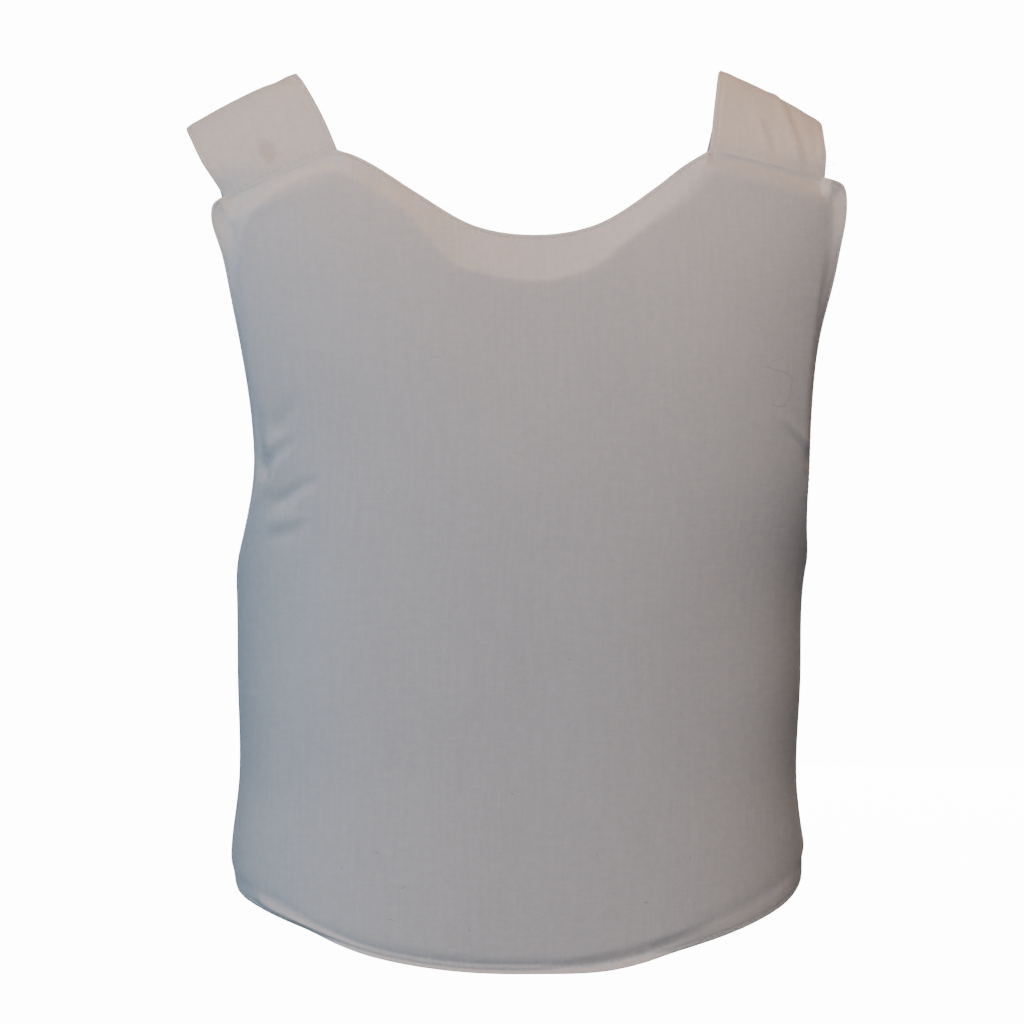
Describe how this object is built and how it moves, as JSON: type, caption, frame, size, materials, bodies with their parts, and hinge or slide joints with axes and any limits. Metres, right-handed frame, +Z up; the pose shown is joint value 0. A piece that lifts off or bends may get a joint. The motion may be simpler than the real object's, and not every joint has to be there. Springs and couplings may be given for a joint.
{
  "type": "concealable soft armour vest",
  "caption": "Concealable protective vest: padded white back and front panels, wide shoulder straps and elastic side bands, held in its worn shape.",
  "frame": {"origin": "midway between the undersides of the two shoulder straps, where they cross the top of the shoulders", "axes": "+Z up; the wearer faces -Y, so the back panel is at +Y; +X is the wearer's left"},
  "size_m": [0.3938, 0.2498, 0.5337],
  "materials": {
    "carrier_cloth": "matt plain-woven cotton and polyester cloth, off-white",
    "strap_cloth": "matt plain-woven cloth in two layers, off-white",
    "elastic_band": "matt ribbed elastic webbing, off-white"
  },
  "bodies": {
    "root": {"back_panel": "carrier_cloth", "front_panel": "carrier_cloth", "shoulder_strap_left": "strap_cloth", "shoulder_strap_right": "strap_cloth", "side_strap_left": "elastic_band", "side_strap_right": "elastic_band"}
  },
  "joints": []
}
